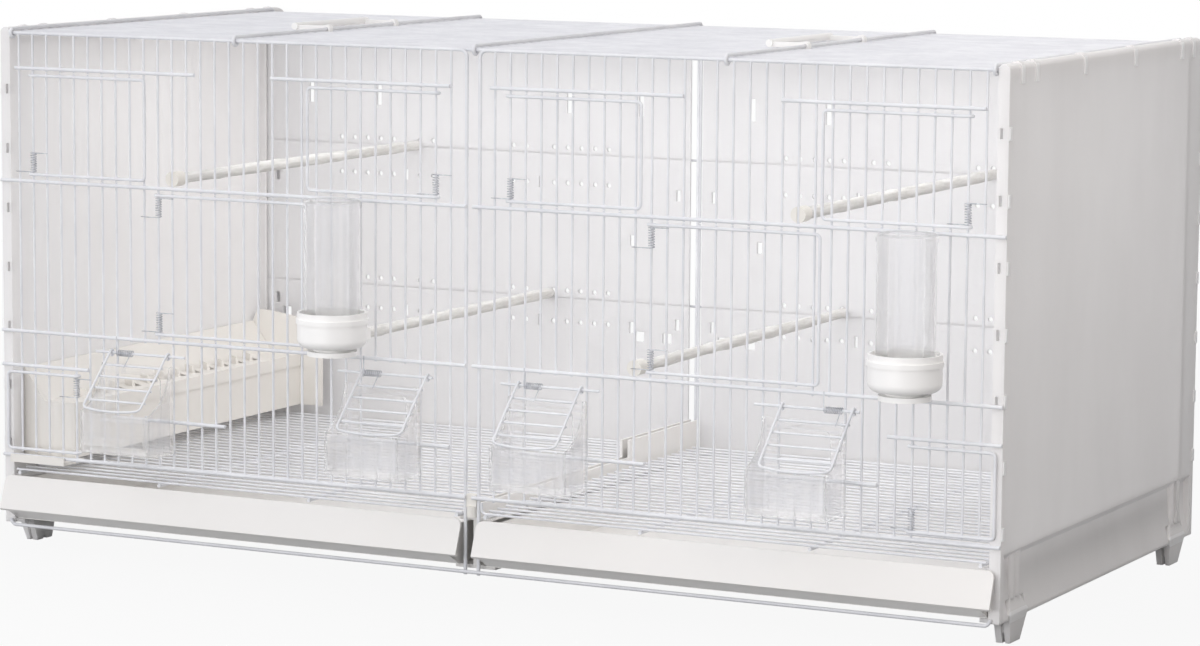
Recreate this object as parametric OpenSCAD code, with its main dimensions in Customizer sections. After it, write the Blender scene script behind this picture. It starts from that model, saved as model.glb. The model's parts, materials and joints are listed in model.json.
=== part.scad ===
// Double canary breeding cage: two moulded side panels carry wire fronts, a wire roof,
// punched back panels, slide-out trays and floor grids. Front is -Y. Heights are counted from
// the plane leg_drop above the ground, and at_front() lifts every piece by leg_drop.

/* [Cage] */
// Width over the two side panels
cage_w = 905; // [755:5:1100]
// Depth of a side panel
cage_d = 440; // [360:5:520]
// Height of the front's top bar above the floor
top_bar_z = 429; // [400:1:520]
// Upright wires in each of the two bays
wires_per_bay = 32; // [32]
// Space between the two bays' frame wires
centre_gap = 12; // [10:0.5:16]
// Distance from the outside of the cage to its first upright wire
wire_inset = 18.7; // [18:0.1:20]

/* [Wire] */
// Diameter of the upright wires
wire_d = 2; // [1.6:0.1:2.4]
// Diameter of the bars and frame wires
bar_d = 3; // [2.5:0.1:3.5]
// Diameter of a door's bent frame wire
door_wire_d = 2.5; // [2:0.1:3]
// Length of a wire's tip past the bar it is welded to
tip = 1.2; // [0.5:0.1:1.4]
// Spacing of the roof and floor wires from front to back
deck_pitch = 13.8; // [12:0.1:18]
// Bend radius at the corners of a frame wire
frame_bend = 6; // [4:0.5:8]

/* [Heights of the front bars] */
// Bottom bar
bottom_bar_z = 72.5; // [71:0.5:75]
// Sills below the feeder openings
sill_z = 112; // [105:1:116]
// Lintels above the corner doors
lower_lintel_z = 149.5; // [140:0.5:155]
// Rods that the feeder flaps hang on
rod_z = 166.3; // [166:0.1:170]
// Lower long bar
lower_bar_z = 178.5; // [176:0.5:182]
// Upper long bar
upper_bar_z = 305.5; // [290:0.5:330]
// Drop from the top bar to the lintels above the upper doors
lintel_drop = 29; // [20:1:40]

/* [Doors] */
// Drop from the bar above to a door's top wire
door_drop = 6; // [5.5:0.1:8]
// Rise from the bar below to a door's bottom wire
door_lift = 5.8; // [5.5:0.1:8]
// Bend radius at a door's free corners
door_bend = 3.5; // [3:0.5:12]
// Share of a turn that an eye wraps round its wire, in degrees
eye_wrap = 250; // [200:5:260]

/* [Springs] */
// Diameter of the spring wire
spring_wire_d = 0.8; // [0.7:0.1:1]
// Mean radius of the curls
spring_r = 2.4; // [2.2:0.1:3]
// Curls in each spring
spring_curls = 8; // [5:1:9]
// Length of a door spring's curls
door_spring_len = 16; // [14:1:20]
// Length of a flap spring's curls
flap_spring_len = 14.5; // [13.5:0.5:16]
// Reach of a spring's arm past the wire it leans on
spring_over = 2; // [1.5:0.5:3]

/* [Feeders] */
// Diameter of the rod that a flap hangs on
rod_d = 2.2; // [2:0.1:2.8]
// Diameter of a flap's bent frame wire
flap_wire_d = 2; // [1.6:0.1:2.4]
// Diameter of a flap's cross wires
cross_wire_d = 1.8; // [1.4:0.1:2]
// Length of a flap along its slope
flap_len = 60; // [54:1:64]
// Lean of a flap out from the upright
flap_lean = 45; // [45]
// Depth of the bow in a flap's front wire
flap_bow = 3; // [2:0.5:5]
// Width of a feeder cup
cup_w = 68; // [60:1:72]
// Depth of a feeder cup, front to back
cup_depth = 39.5; // [34:0.5:40]
// Height of a feeder cup's floor
cup_floor_z = 86; // [84:1:92]
// Height of a cup's front rim
cup_rim_z = 121; // [112:1:121]
// Height of a cup's back wall
cup_back_z = 158; // [150:1:158]
// Wall of the clear feeder cups
cup_wall = 2; // [1.5:0.1:3]
// Width of the feeding window in a cup's back wall
window_w = 44; // [30:1:46]
// Height of the window's lower edge
window_z = 112.5; // [110:0.5:116]

/* [Drinkers] */
// Outer diameter of the clear tube
tube_d = 45; // [40:1:50]
// Outer diameter of the white base
base_d = 58; // [54:1:60]
// Height of the tube's top
tube_top_z = 308; // [290:1:308]
// Height of the base's underside
base_z = 183.3; // [181:0.1:185]
// Height of the base
base_h = 35; // [33:1:37]
// Wall of the tube
tube_wall = 1.5; // [1:0.1:2]

/* [Side panels] */
// Depth of the moulded rim round a side panel
rim = 9; // [8:0.5:12]
// Thickness of the panel's wall
panel_wall = 3; // [2:0.5:4]
// Height of the panel's lower edge
panel_foot_z = 14; // [13.6:0.1:15]
// Height of the ledge above the hollow along the panel's foot
hollow_top_z = 66; // [60:1:70]
// Length of the straps that wrap over a panel's top edge
strap_len = 11; // [8:1:14]
// Spacing of the lugs along the panel's upright edges
lug_pitch = 50; // [40:1:60]
// Height of a lug
lug_h = 10; // [8:1:12]
// Distance from a panel's back edge to the back panels
back_inset = 32; // [24:1:36]

/* [Feet] */
// Height of a foot's shoulder above the ground
foot_h = 34; // [30:0.5:38]
// Length of a foot below the plane that all heights are counted from
leg_drop = 5.5; // [4:0.5:8]
// Width of a foot at its shoulder
foot_w = 38; // [32:1:42]
// Width of a foot at the ground
foot_toe_w = 21; // [16:1:26]
// Distance from a panel's front edge to the middle of the front foot
foot_inset = 38; // [34:1:60]
// Distance from a panel's back edge to the middle of the back foot
back_foot_inset = 38; // [34:1:60]

/* [Trays and floor] */
// Thickness of the tray plastic
tray_wall = 2; // [1.5:0.1:3]
// Height of a tray's side walls
tray_top_z = 50; // [40:1:51]
// Height of a tray lip's upper edge
lip_top_z = 55; // [52:0.5:55]
// Height of a tray lip's lower edge
lip_foot_z = 27.5; // [22:0.5:28]
// How far the lip's lower edge stands out past the upper one
lip_lean = 10; // [6:0.5:14]
// Height of the floor wires
floor_z = 60; // [60:0.5:62]

/* [Back panels] */
// Thickness of a back panel
back_t = 2.5; // [2:0.1:4]
// Diameter of the air holes
hole_d = 4.4; // [3:0.1:5]

/* [Perches and seed box] */
// Diameter of a perch
perch_d = 10; // [8:0.5:12]
// Width of the seed box
box_w = 52; // [44:0.5:56]
// Height of the seed box's trough
box_h = 36; // [30:1:42]
// Height of the seed box's back plate
box_back_z = 144; // [130:1:150]
// Spacing of the slats in the seed box's lid
slat_pitch = 24; // [18:1:30]

/* [Roof handles] */
// Floor-wire spaces that a handle spans from eye to eye
handle_spaces = 8; // [6:1:10]
// Reach of a handle from its hinge to the middle of its grip
handle_reach = 30; // [24:1:40]
// Diameter of the grip
grip_d = 6; // [5:0.5:8]

/* [Fits] */
// Gap that stands for a spot weld between two wires
weld = 0.05; // [0.03:0.01:0.1]
// Running gap between pieces that move on each other
run = 0.3; // [0.3:0.05:0.5]

/* [Hidden] */
$fn = 32;

LEFT = -1;
RIGHT = 1;
wire_r = wire_d / 2;
bar_r = bar_d / 2;
door_r = door_wire_d / 2;
rod_r = rod_d / 2;
flap_r = flap_wire_d / 2;
cross_r = cross_wire_d / 2;
half_w = cage_w / 2;
last = wires_per_bay - 1;
pitch = (half_w - wire_inset - centre_gap / 2) / last;
lintel_z = top_bar_z - lintel_drop;

// Depths, counted from the plane of the upright wires
flange_y = -wire_r;
frame_y = flange_y + bar_r;
bar_y = -(wire_r + bar_r + weld);
bar_front_y = bar_y - bar_r;
door_eye_r = wire_r + run + door_r;
door_y = -door_eye_r;
door_upright_y = door_y + door_r + wire_r + weld;
flap_eye_r = rod_r + run + flap_r;
rod_y = -(wire_r + rod_r + weld);
back_y = cage_d - back_inset - back_t;
deck_back_y = back_y - 4;
cup_back_y = bar_front_y - run;
drinker_y = bar_front_y - run - base_d / 2;
reach_front = base_d + run - bar_front_y;
reach_back = cage_d + flange_y;
origin_y = (reach_front - reach_back) / 2;

// Side panel, counted from the middle of the cage
strap_t = 1;
panel_x = half_w - strap_t;
rim_x = panel_x - rim;
inner_x = panel_x - panel_wall;
bead_r = rim / 2;
bead_x = panel_x - bead_r;
bead_z = top_bar_z;
ledge_t = 3;
ledge_w = 8;
grid_ledge_z = 53;
grid_ledge_t = 2.5;
lug_t = 4;
deck_x = rim_x - 1;

// The wire numbers of each door: bay, hinge wire, wire behind its free side, lap past that wire
door_top = [[LEFT, 1, 9, 2.1], [LEFT, 29, 21, 7], [RIGHT, 2, 10, 5.6], [RIGHT, 30, 22, 6.9]];
door_mid = [[LEFT, 10, 20, 5.5], [RIGHT, 11, 21, 5.5]];
door_low = [[LEFT, 4, -1, 0], [RIGHT, 27, 32, 0]];
corner_door_x = half_w - 6;
// The wire numbers of each feeder opening: bay, first and last wire, both flap arms' offsets
feeders = [[LEFT, 7, 11, -4.3, -4], [LEFT, 24, 28, 3.6, 7.8],
           [RIGHT, 3, 7, -4.3, -4], [RIGHT, 19, 23, 3.6, 7.8]];
// The spaces that the drinkers hang in front of: bay, wire number halfway
drinkers = [[LEFT, 23.5], [RIGHT, 27.5]];
// The wires that the perches clip to: bay, wire number, bar they rest above
perches = [[LEFT, 11, upper_bar_z], [LEFT, 21, lower_bar_z],
           [RIGHT, 20, upper_bar_z], [RIGHT, 10, lower_bar_z]];

function wire_x(bay, i) = bay == LEFT ? -centre_gap / 2 - (last - i) * pitch
                                      : centre_gap / 2 + i * pitch;
function between(i, d) = i > min(d[1], d[2]) && i < max(d[1], d[2]);
function spans(table, bay, i, z0, z1) =
    [for (d = table) if (d[0] == bay && between(i, d)) each [z0, z1]];
// Heights where upright wire i starts and stops, in pairs from bottom to top
function wire_ends(bay, i) = concat(
    [bottom_bar_z],
    spans(feeders, bay, i, sill_z, lower_bar_z),
    spans(door_low, bay, i, bottom_bar_z, lower_lintel_z),
    spans(door_mid, bay, i, lower_bar_z, upper_bar_z),
    spans(door_top, bay, i, upper_bar_z, lintel_z),
    [top_bar_z]);

// ---- Wire forms ----

module at_front() translate([0, origin_y, leg_drop]) children();

// Straight wires along each axis, from a to b
module wire_along_x(a, b, y, z, r) translate([a, y, z]) rotate([0, 90, 0]) cylinder(h = b - a, r = r);
module wire_along_y(x, a, b, z, r) translate([x, b, z]) rotate([90, 0, 0]) cylinder(h = b - a, r = r);
module wire_along_z(x, y, a, b, r) translate([x, y, a]) cylinder(h = b - a, r = r);

// Bent wire round the Z axis, from one angle to another
module wire_bend(mean_r, r, from, to)
    rotate([0, 0, from]) rotate_extrude(angle = to - from) translate([mean_r, 0]) circle(r);

// Cuts a round corner of radius r out of a square one, its point at the origin
module corner_cut(r) difference() {
    translate([-1, -1]) square([r + 1, r + 1]);
    translate([r, r]) circle(r);
}

// ---- Side panels ----

// Sections of a side panel, x counted from the middle of the cage, y as height
module rim_section() {
    translate([rim_x, panel_foot_z]) square([rim, bead_z - panel_foot_z]);
    translate([bead_x, bead_z]) circle(bead_r);
}

// Hollow cut into a panel's outside above the feet: a short slope, a flat and a long flare
module hollow_section() {
    deep = rim - panel_wall - 0.4;
    slope_h = 6;
    flat_h = 10;
    turn_z = hollow_top_z - slope_h - flat_h;
    fall = turn_z - panel_foot_z - 2;
    flare_r = (deep * deep + fall * fall) / (2 * deep);
    intersection() {
        translate([panel_x - deep + flare_r, turn_z]) circle(flare_r, $fn = 96);
        translate([rim_x, turn_z - fall - 1]) square([rim + 1, fall + 1]);
    }
    polygon([[panel_x - deep, turn_z], [panel_x - deep, turn_z + flat_h],
             [panel_x + 1, hollow_top_z + slope_h / deep], [panel_x + 1, turn_z]]);
}

module panel_section() difference() {
    rim_section();
    translate([rim_x - 1, hollow_top_z + panel_wall])
        square([rim - panel_wall + 1, bead_z - bead_r - hollow_top_z - panel_wall]);
    hollow_section();
}

// Extrudes a section along Y from a to b
module along_y(a, b) translate([0, b, 0]) rotate([90, 0, 0]) linear_extrude(b - a) children();

module strap_section() difference() {
    union() {
        translate([bead_x, bead_z]) circle(bead_r + strap_t);
        translate([bead_x, bead_z - strap_len]) square([bead_r + strap_t, strap_len]);
    }
    translate([bead_x, bead_z]) circle(bead_r - 1);
    translate([bead_x - bead_r - 2, bead_z - strap_len - 1]) square([2 * bead_r, strap_len + 1]);
    translate([bead_x - bead_r - 2, bead_z - bead_r]) square([bead_r + 2, bead_r]);
}

module side_panel() {
    y0 = flange_y;
    y1 = cage_d + flange_y;
    hollow_end = 7;
    lug_count = floor((bead_z - 2 * lug_h - panel_foot_z) / lug_pitch);
    edge = 3;
    shoulder_z = foot_h - leg_drop;
    foot_ys = [y0 + foot_inset, y1 - back_foot_inset];
    difference() {
        union() {
            along_y(y0 + edge, y1 - edge) panel_section();
            along_y(y0, y0 + hollow_end) rim_section();
            along_y(y1 - hollow_end, y1) rim_section();
            // Ledges that carry the tray and the floor grid
            translate([rim_x - ledge_w, y0 + edge, panel_foot_z])
                cube([ledge_w + 3, back_y + 10 - y0 - edge, ledge_t]);
            translate([rim_x - ledge_w + 3, y0 + edge, grid_ledge_z])
                cube([ledge_w, back_y - y0 - edge - 1, grid_ledge_t]);
            // Channel that holds the back panel
            for (y = [back_y - run - panel_wall, back_y + back_t + run])
                translate([rim_x, y, panel_foot_z + 1])
                    cube([rim - 1, panel_wall, bead_z - panel_foot_z - 2]);
            // Ribs above the feet
            for (foot_y = foot_ys, dy = [-6, 5])
                wire_along_z(rim_x + 4.5, foot_y + dy, shoulder_z - 4, hollow_top_z + 1, 3.5);
            // Straps over the top edge and lugs down both upright edges
            for (y = [y0 + 26, y0 + 55, y0 + cage_d * 0.36, y0 + cage_d * 0.62, y1 - 55, y1 - 26])
                along_y(y - 3, y + 3) strap_section();
            for (k = [0:lug_count - 1], y = [y0 + 0.6, y1 - lug_t - 0.6])
                translate([panel_x - 1, y, bead_z - 52 - k * lug_pitch])
                    cube([strap_t + 1, lug_t, lug_h]);
        }
        // Room for the two feet
        for (foot_y = foot_ys)
            translate([inner_x - 2.5, foot_y - foot_w / 2 - weld, panel_foot_z - 1])
                cube([rim, foot_w + 2 * weld, shoulder_z - panel_foot_z + 1 + weld]);
        // Slots through the front flange beside the lugs
        for (k = [0:lug_count - 1])
            translate([rim_x + 2, y0 - 1, bead_z - 51 - k * lug_pitch])
                cube([2.4, edge + 1 + hollow_end, lug_h - 2]);
        // Large radius at the upper back corner
        translate([rim_x - 1, y1, bead_z + bead_r]) rotate([90, 0, 90])
            linear_extrude(rim + 4) rotate(180) corner_cut(14);
    }
}

module side_left() color("gainsboro") at_front() mirror([1, 0, 0]) side_panel();
module side_right() color("gainsboro") at_front() side_panel();

// One foot, its middle at y = 0: a tapered outer leg with a sloping shoulder, and an inner leg
module foot() {
    leg_x = inner_x - 2.5 + weld;
    toe = foot_toe_w / 2;
    half = foot_w / 2;
    low_z = -leg_drop;
    shoulder_z = foot_h - leg_drop;
    break_z = low_z + foot_h * 0.68;
    web_z = panel_foot_z - weld;
    outline = [[-toe, low_z], [toe, low_z], [half, break_z], [half - 8, shoulder_z],
               [8 - half, shoulder_z], [-half, break_z]];
    profile = [[leg_x, low_z], [half_w - 3, low_z], [half_w, break_z], [half_w - 3.5, shoulder_z],
               [leg_x, shoulder_z]];
    notch = [[-3, low_z - 1], [0, low_z + 6], [3, low_z - 1]];
    intersection() {
        translate([leg_x - 1, 0, 0]) rotate([90, 0, 90]) linear_extrude(rim + 4) polygon(outline);
        along_y(-foot_w, foot_w) polygon(profile);
    }
    // Inner leg below the ledge, with the web that joins it to the outer one
    translate([rim_x - 4, 0, 0]) rotate([90, 0, 90]) linear_extrude(5) difference() {
        polygon([[-toe, low_z], [toe, low_z], [half - 2, web_z], [2 - half, web_z]]);
        polygon(notch);
    }
    translate([rim_x, -toe, low_z + 8]) cube([leg_x - rim_x + 1, 2 * toe, web_z - low_z - 8]);
}

module feet() color("gainsboro") at_front()
    for (side = [0, 1], y = [foot_inset, cage_d - back_foot_inset])
        mirror([side, 0, 0]) translate([0, y + flange_y, 0]) foot();

// ---- Back panels ----

// Air holes and slots of one back panel, x from its middle, y as height
module back_cuts() {
    row = [3, 4, 6, 7, 8, 9, 10];
    for (side = [-1, 1]) {
        for (z = [161.3, 286], k = row) translate([side * k * pitch, z]) circle(d = hole_d);
        for (z = [189.3, 318], k = row) translate([side * k * pitch, z]) circle(d = hole_d);
        for (z = [161.3, 286]) translate([side * 5 * pitch, z]) square([3, 10], center = true);
        for (x = [98, 170]) translate([side * x, top_bar_z - 70.5]) square([5, 20], center = true);
        for (x = [162], z = [160, 238]) translate([side * x, z]) square([5, 10], center = true);
        for (x = [170, 197]) translate([side * x, 152.5]) square([9, 9], center = true);
        for (z = [165, 280]) translate([side * 207, z]) square([4, 10], center = true);
    }
}

module back_panel() {
    side_edge = inner_x - run;
    inner_edge = centre_gap / 2;
    z0 = panel_foot_z + ledge_t + run;
    z1 = top_bar_z - bar_r - 4;
    middle = (rim_x + inner_edge) / 2;
    seam = 1;
    difference() {
        translate([inner_edge, back_y, z0]) cube([side_edge - inner_edge, back_t, z1 - z0]);
        translate([middle, back_y + back_t + 1, 0]) rotate([90, 0, 0])
            linear_extrude(back_t + 2) back_cuts();
        // Notch round the side panel's thick foot
        translate([rim_x - run, back_y - 1, z0 - 1])
            cube([rim, back_t + 2, hollow_top_z + panel_wall + run - z0 + 1]);
        // Shallow seams between the panel's three strips, on its inner face
        for (z = [182, 311.5])
            translate([inner_edge - 1, back_y - 1, z]) cube([side_edge, 1 + seam, 1.6]);
    }
}

module back_left() color("lavender") at_front() mirror([1, 0, 0]) back_panel();
module back_right() color("lavender") at_front() back_panel();

// Wire that ties the two back panels, with its two cross pins
module back_post() color("silver") at_front() {
    post_y = back_y + back_t + bar_r + weld;
    wire_along_z(0, post_y, panel_foot_z + ledge_t + 8, top_bar_z - 3 * bar_r - run - weld, bar_r);
    for (z = [182, 311.5])
        wire_along_x(-centre_gap - 6, centre_gap + 6, post_y + bar_r + wire_r + weld, z, wire_r);
}

// ---- Roof ----

roof_z = top_bar_z + 2 * bar_r + run;
roof_wire_z = roof_z - bar_r - wire_r - weld;
cross_x = [0, deck_x / 2, deck_x - bar_r];
joiner_y = frame_y + 2 * bar_r + weld;
roof_back_y = back_y + back_t + bar_r + weld;
roof_count = floor((roof_back_y - 4) / deck_pitch);

module roof_wires() color("lightsteelblue") at_front()
    for (k = [1:roof_count])
        wire_along_x(-deck_x, deck_x, frame_y + k * deck_pitch, roof_wire_z, wire_r);

// Cross wires and the two bars that they hook on at the back and in the middle of the front
module roof_cross() color("lightsteelblue") at_front() {
    wire_along_y(0, joiner_y + weld, roof_back_y - weld, roof_z, bar_r);
    for (x = [cross_x[1], cross_x[2]], side = [-1, 1])
        wire_along_y(side * x, frame_y + weld, roof_back_y - weld, roof_z, bar_r);
    wire_along_x(-deck_x, deck_x, roof_back_y, top_bar_z, bar_r);
    wire_along_x(-20, 20, joiner_y, top_bar_z, bar_r);
}

// Open hook round a bar along X; turn = 1 hooks forwards, -1 backwards
module roof_hook(x, y, turn) translate([x, y, top_bar_z]) rotate([90, 0, 90])
    wire_bend(2 * bar_r + run, bar_r, turn == 1 ? 90 : 90 - eye_wrap, turn == 1 ? 90 + eye_wrap : 90);

module roof_hooks() color("lightsteelblue") at_front() {
    roof_hook(0, joiner_y, 1);
    roof_hook(0, roof_back_y, -1);
    for (x = [cross_x[1], cross_x[2]], side = [-1, 1]) {
        roof_hook(side * x, frame_y, 1);
        roof_hook(side * x, roof_back_y, -1);
    }
}

// Folding carrying handle: two eyes on a cross wire, two arms and a round grip
module handle(x) {
    eye_t = 5;
    first = floor((roof_count - handle_spaces) / 2) + 0.5;
    y0 = frame_y + first * deck_pitch;
    y1 = y0 + handle_spaces * deck_pitch;
    low_z = roof_wire_z + wire_r + run;
    translate([x, 0, 0]) {
        difference() {
            union() for (y = [y0, y1]) {
                translate([0, y + eye_t / 2, roof_z]) rotate([90, 0, 0]) cylinder(h = eye_t, r = bar_r + 2.4);
                translate([-handle_reach, y - eye_t / 2, low_z]) cube([handle_reach, eye_t, 4]);
            }
            wire_along_y(0, y0 - 10, y1 + 10, roof_z, bar_r + run);
        }
        wire_along_y(-handle_reach, y0 - eye_t / 2 - 2, y1 + eye_t / 2 + 2, low_z + grip_d / 2, grip_d / 2);
    }
}

module handle_left() color("white") at_front() handle(-cross_x[1]);
module handle_right() color("white") at_front() handle(cross_x[1]);

// ---- Wire fronts ----

// Upright wires of one bay; the one beside the middle is the bay's own frame wire
module front_wires(bay) {
    first = bay == LEFT ? 0 : 1;
    for (i = [first:first + last - 1]) {
        ends = wire_ends(bay, i);
        pieces = len(ends) / 2;
        for (k = [0:pieces - 1]) {
            low = ends[2 * k] - bar_r - tip;
            high = k == pieces - 1 ? top_bar_z - bar_r - weld : ends[2 * k + 1] + bar_r + tip;
            if (ends[2 * k + 1] - ends[2 * k] > 1)
                wire_along_z(wire_x(bay, i), 0, low, high, wire_r);
        }
    }
}

module front_left_wires() color("lightsteelblue") at_front() front_wires(LEFT);
module front_right_wires() color("lightsteelblue") at_front() front_wires(RIGHT);

rail_z = 12.5;
// Bent frame wire of one bay: top bar, round corner and the post beside the middle
module bay_frame(bay) {
    post_x = centre_gap / 2;
    bend_x = post_x + frame_bend;
    mirror([bay == LEFT ? 1 : 0, 0, 0]) {
        wire_along_x(bend_x + weld, deck_x, frame_y, top_bar_z, bar_r);
        translate([bend_x, frame_y, top_bar_z - frame_bend]) rotate([90, 0, 0])
            wire_bend(frame_bend, bar_r, 90, 180);
        wire_along_z(post_x, frame_y, rail_z - bar_r - tip, top_bar_z - frame_bend - weld, bar_r);
    }
}

// Bars in front of the uprights, between two wire numbers
module bar(bay, a, b, z) wire_along_x(wire_x(bay, a), wire_x(bay, b), bar_y, z, bar_r);

module long_bars(bay) {
    outer_x = half_w - 1;
    inner_x = centre_gap / 2 - 1.5;
    for (z = [bottom_bar_z, lower_bar_z, upper_bar_z])
        if (bay == LEFT) wire_along_x(-outer_x, -inner_x, bar_y, z, bar_r);
        else wire_along_x(inner_x - 3, outer_x, bar_y, z, bar_r);
}

module feeder_bars(f) {
    wire_along_x(wire_x(f[0], f[1] - 1.45), wire_x(f[0], f[2] + 0.9), rod_y, rod_z, rod_r);
    bar(f[0], f[1] + (f[3] < 0 ? -0.25 : -2), f[2] + (f[3] < 0 ? 3.75 : 2), sill_z);
}

module front_left_bars() color("lightsteelblue") at_front() {
    bay_frame(LEFT);
    long_bars(LEFT);
    bar(LEFT, -0.15, 12.7, lintel_z);
    bar(LEFT, 18, 30, lintel_z);
    wire_along_x(1 - half_w, wire_x(LEFT, 5), bar_y, lower_lintel_z, bar_r);
    for (f = [feeders[0], feeders[1]]) feeder_bars(f);
}

module front_right_bars() color("lightsteelblue") at_front() {
    bay_frame(RIGHT);
    long_bars(RIGHT);
    bar(RIGHT, 0.8, 13, lintel_z);
    bar(RIGHT, 19, 31, lintel_z);
    wire_along_x(wire_x(RIGHT, 25.6), half_w - 1, bar_y, lower_lintel_z, bar_r);
    for (f = [feeders[2], feeders[3]]) feeder_bars(f);
}

// ---- Doors ----

// One sprung door: two bent wires with eyes round the hinge wire, a thick free side, and the
// thin uprights that continue the wires cut away for the opening
module door(d, low_bar_z, high_bar_z, side_x) {
    dir = sign(d[2] - d[1]);
    hinge_x = wire_x(d[0], d[1]);
    width = abs(side_x - hinge_x);
    z0 = low_bar_z + door_lift;
    z1 = high_bar_z - door_drop;
    bend_x = width - door_bend;
    translate([hinge_x, 0, 0]) mirror([dir == 1 ? 0 : 1, 0, 0]) {
        for (z = [z0, z1]) {
            translate([0, 0, z]) wire_bend(door_eye_r, door_r, -90 - eye_wrap, -90);
            wire_along_x(weld, bend_x - weld, door_y, z, door_r);
        }
        wire_along_z(width, door_y, z0 + door_bend + weld, z1 - door_bend - weld, door_r);
        for (end = [[z0, -90, 0], [z1, 0, 90]])
            translate([bend_x, door_y, end[0] + (end[1] < 0 ? 1 : -1) * door_bend]) rotate([90, 0, 0])
                wire_bend(door_bend, door_r, end[1], end[2]);
        for (k = [1:abs(d[2] - d[1]) - 1])
            wire_along_z(k * pitch, door_upright_y, z0 - door_r - tip, z1 + door_r + tip, wire_r);
    }
}

function free_side_x(d) = wire_x(d[0], d[2]) + sign(d[2] - d[1]) * d[3];

module top_door(k) color("lightsteelblue") at_front()
    door(door_top[k], upper_bar_z, lintel_z, free_side_x(door_top[k]));
module mid_door(k) color("lightsteelblue") at_front()
    door(door_mid[k], lower_bar_z, upper_bar_z, free_side_x(door_mid[k]));
module low_door(k) color("lightsteelblue") at_front()
    door(door_low[k], bottom_bar_z, lower_lintel_z, door_low[k][0] * corner_door_x);

// ---- Springs ----

// Points of a spring wound about Z: a straight arm, the curls, and a straight arm again.
// Each entry is [point, outward direction].
function helix_point(a, from, to, length) = [spring_r * cos(a), spring_r * sin(a),
                                             length * (a - from) / (to - from)];
function spring_path(from, to, length, arm_a, arm_b) = let (
    steps = ceil((to - from) / 60),
    out_a = [cos(from), sin(from), 0],
    out_b = [cos(to), sin(to), 0],
    along_a = [-sin(from), cos(from), 0],
    along_b = [-sin(to), cos(to), 0],
    start = helix_point(from, from, to, length),
    stop = helix_point(to, from, to, length))
    concat(
        [[start - along_a * arm_a, out_a], [start - along_a * spring_wire_d, out_a]],
        [for (k = [0:steps]) let (a = from + (to - from) * k / steps)
            [helix_point(a, from, to, length), [cos(a), sin(a), 0]]],
        [[stop + along_b * spring_wire_d, out_b], [stop + along_b * arm_b, out_b]]);

function unit(v) = v / norm(v);

// One unbroken six-sided tube along a path
module tube(path, r, sides = 6) {
    n = len(path);
    points = [for (k = [0:n - 1]) let (
        a = path[max(k - 1, 0)][0],
        b = path[min(k + 1, n - 1)][0],
        along = unit(b - a),
        out = unit(path[k][1] - along * (path[k][1] * along)),
        side = cross(along, out))
        for (s = [0:sides - 1]) path[k][0] + r * (cos(s * 360 / sides) * out + sin(s * 360 / sides) * side)];
    faces = [for (k = [0:n - 2], s = [0:sides - 1]) let (t = (s + 1) % sides)
        each [[k * sides + s, k * sides + t, (k + 1) * sides + s],
              [k * sides + t, (k + 1) * sides + t, (k + 1) * sides + s]]];
    caps = [for (s = [1:sides - 2]) each [[0, s + 1, s],
            [(n - 1) * sides, (n - 1) * sides + s, (n - 1) * sides + s + 1]]];
    polyhedron(points, concat(faces, caps));
}

// Least gap between two turns of a spring, from points one turn or more apart along it
function self_gap(path) = let (one_turn = 6)
    min([for (a = [0:len(path) - 1], b = [a + one_turn - 2:1:len(path) - 1])
        norm(path[a][0] - path[b][0])]) - spring_wire_d;

// Both arms leave a door spring at the front: the lower one to -X, the upper one to +X
door_spring_path = spring_path(-90, -90 + 360 * spring_curls, door_spring_len,
                               pitch + spring_over, pitch + spring_over);
// A flap spring's arms lean on the lower bar and on the flap's first cross wire
flap_spring_path = spring_path(180, 135 + 360 * spring_curls, flap_spring_len,
                               lower_bar_z - rod_z + spring_over, flap_len * 0.24 + spring_over);

module door_spring(d, z) translate([wire_x(d[0], d[1]), 0, z]) tube(door_spring_path, spring_wire_d / 2);

module door_springs() color("dimgray") at_front() {
    low_clear = door_lift + door_r + spring_wire_d;
    high_clear = door_drop + door_r + spring_wire_d + door_spring_len;
    for (d = door_top) door_spring(d, upper_bar_z + low_clear);
    for (d = door_mid, z = [lower_bar_z + low_clear, upper_bar_z - high_clear]) door_spring(d, z);
    door_spring(door_low[0], lower_lintel_z - high_clear);
    door_spring(door_low[1], bottom_bar_z + low_clear);
    echo(door_spring_gap = self_gap(door_spring_path), flap_spring_gap = self_gap(flap_spring_path));
}

module flap_springs() color("dimgray") at_front()
    for (k = [0:len(feeders) - 1]) {
        f = feeders[k];
        eye = flap_r + spring_wire_d;
        clear = wire_r + spring_wire_d / 2 + run;
        x = k == len(feeders) - 1 ? wire_x(f[0], f[2]) + min(f[4] - eye, -clear) - flap_spring_len
                                  : wire_x(f[0], f[1]) + max(f[3] + eye, clear);
        translate([x, rod_y, rod_z]) rotate([90, 0, 90]) tube(flap_spring_path, spring_wire_d / 2);
    }

// ---- Feeders ----

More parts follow.
